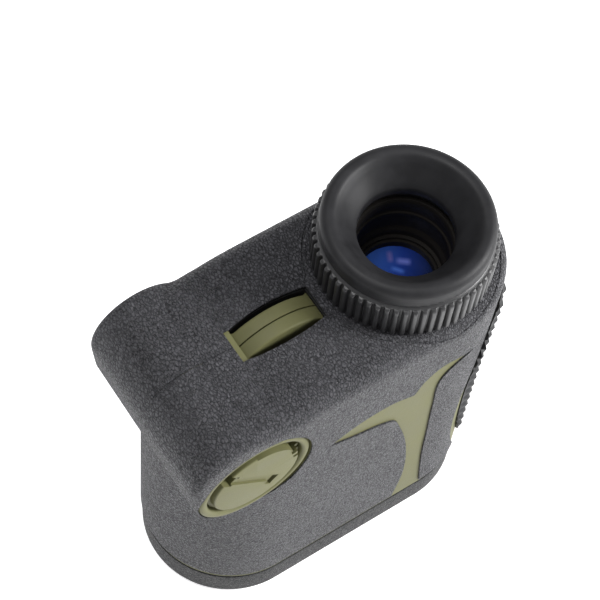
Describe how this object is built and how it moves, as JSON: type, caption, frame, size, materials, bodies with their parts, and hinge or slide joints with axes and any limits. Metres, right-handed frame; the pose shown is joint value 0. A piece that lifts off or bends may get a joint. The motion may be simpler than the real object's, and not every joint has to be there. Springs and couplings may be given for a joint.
{
  "type": "laser rangefinder",
  "caption": "Pocket monocular laser rangefinder with twist dioptre eyepiece, side battery door, lanyard bar and rubber armour over an olive shell.",
  "frame": {"origin": "on the floor, under the middle of the whole object's box, which stands on its front bezel", "axes": "+Z from the lens windows to the eyepiece; +X to the side that is up in use, with the buttons; -Y to the user's right, with the battery door"},
  "size_m": [0.0829, 0.0396, 0.098],
  "materials": {
    "olive_shell": "matte moulded, fine spark texture",
    "armour_rubber": "leather-grain matte",
    "bezel_plastic": "fine matte",
    "gloss_trim": "gloss",
    "seal_rubber": "matte",
    "anodised_black": "black anodised",
    "inner_black_plastic": "matte",
    "coated_glass": "blue anti-reflection coat",
    "prism_glass": "polished",
    "eyecup_rubber": "satin",
    "ring_rubber": "satin",
    "grip_rubber": "matte ridged",
    "key_rubber": "satin",
    "circuit_board": "solder mask",
    "chip_black": "matte",
    "plated_steel": "nickel plated",
    "laser_brass": "gold plated can",
    "cell_wrap": "printed sleeve, no lettering"
  },
  "bodies": {
    "housing": {"right_housing": "olive_shell", "left_housing": "olive_shell", "right_armour": "armour_rubber", "left_armour": "armour_rubber", "front_bezel": "bezel_plastic", "front_trim_plate": "gloss_trim", "bezel_seal": "seal_rubber", "objective_cell": "inner_black_plastic", "objective_lens": "coated_glass", "objective_retaining_ring": "anodised_black", "receiver_cell": "inner_black_plastic", "receiver_lens": "coated_glass", "receiver_retaining_ring": "anodised_black", "prism_holder": "inner_black_plastic", "roof_prism": "prism_glass", "half_prism": "prism_glass", "display_panel": "prism_glass", "laser_diode_module": "laser_brass", "receiver_board": "circuit_board", "avalanche_photodiode": "laser_brass", "ocular_tube": "inner_black_plastic", "battery_port_ring": "olive_shell", "battery_tube": "inner_black_plastic", "battery_contact_plate": "plated_steel", "top_grip_pad": "grip_rubber", "button_board": "circuit_board", "button_switches": "chip_black", "main_board": "circuit_board", "main_board_chips": "chip_black", "case_screws": "plated_steel"},
    "dioptre": {"dioptre_ring": "ring_rubber", "eyecup": "eyecup_rubber"},
    "ocular_cell": {"ocular_lens_cell": "inner_black_plastic", "field_lens": "coated_glass", "ocular_spacer": "anodised_black", "eye_lens": "coated_glass", "ocular_retaining_ring": "anodised_black", "cam_pin": "plated_steel"},
    "battery_door": {"battery_cap_contact": "plated_steel"},
    "battery_cap": {"battery_cap": "olive_shell", "battery_cap_seal": "seal_rubber"},
    "battery": {"battery": "cell_wrap"},
    "power_button": {"power_button": "key_rubber"},
    "mode_button": {"mode_button": "key_rubber"}
  },
  "joints": [
    {"name": "dioptre_turn", "type": "hinge", "parent": "housing", "child": "dioptre", "pos_m": [0.01835, 0, 0.088], "axis": [0, 0, 1], "range_deg": [-140, 140]},
    {"name": "ocular_cell_travel", "type": "slide", "parent": "housing", "child": "ocular_cell", "axis": [0, 0, 1], "range_m": [-0.0012, 0.0012]},
    {"name": "battery_door_lift", "type": "slide", "parent": "housing", "child": "battery_door", "axis": [0, -1, 0], "range_m": [0, 0.045]},
    {"name": "battery_cap_turn", "type": "hinge", "parent": "battery_door", "child": "battery_cap", "pos_m": [-0.02725, -0.019, 0.0663], "axis": [0, -1, 0], "range_deg": [0, 540]},
    {"name": "battery_travel", "type": "slide", "parent": "housing", "child": "battery", "axis": [0, -1, 0], "range_m": [0, 0.028]},
    {"name": "power_button_press", "type": "slide", "parent": "housing", "child": "power_button", "axis": [-1, 0, 0], "range_m": [0, 0.0006], "stiffness_N_per_m": 2500, "springref_m": -0.0002},
    {"name": "mode_button_press", "type": "slide", "parent": "housing", "child": "mode_button", "axis": [-1, 0, 0], "range_m": [0, 0.0006], "stiffness_N_per_m": 2500, "springref_m": -0.0002}
  ],
  "couplings": [
    {"joint": "ocular_cell_travel", "follows": "dioptre_turn", "m_per_rad": 0.00049},
    {"joint": "battery_travel", "follows": "battery_door_lift", "ratio": 0.6}
  ]
}
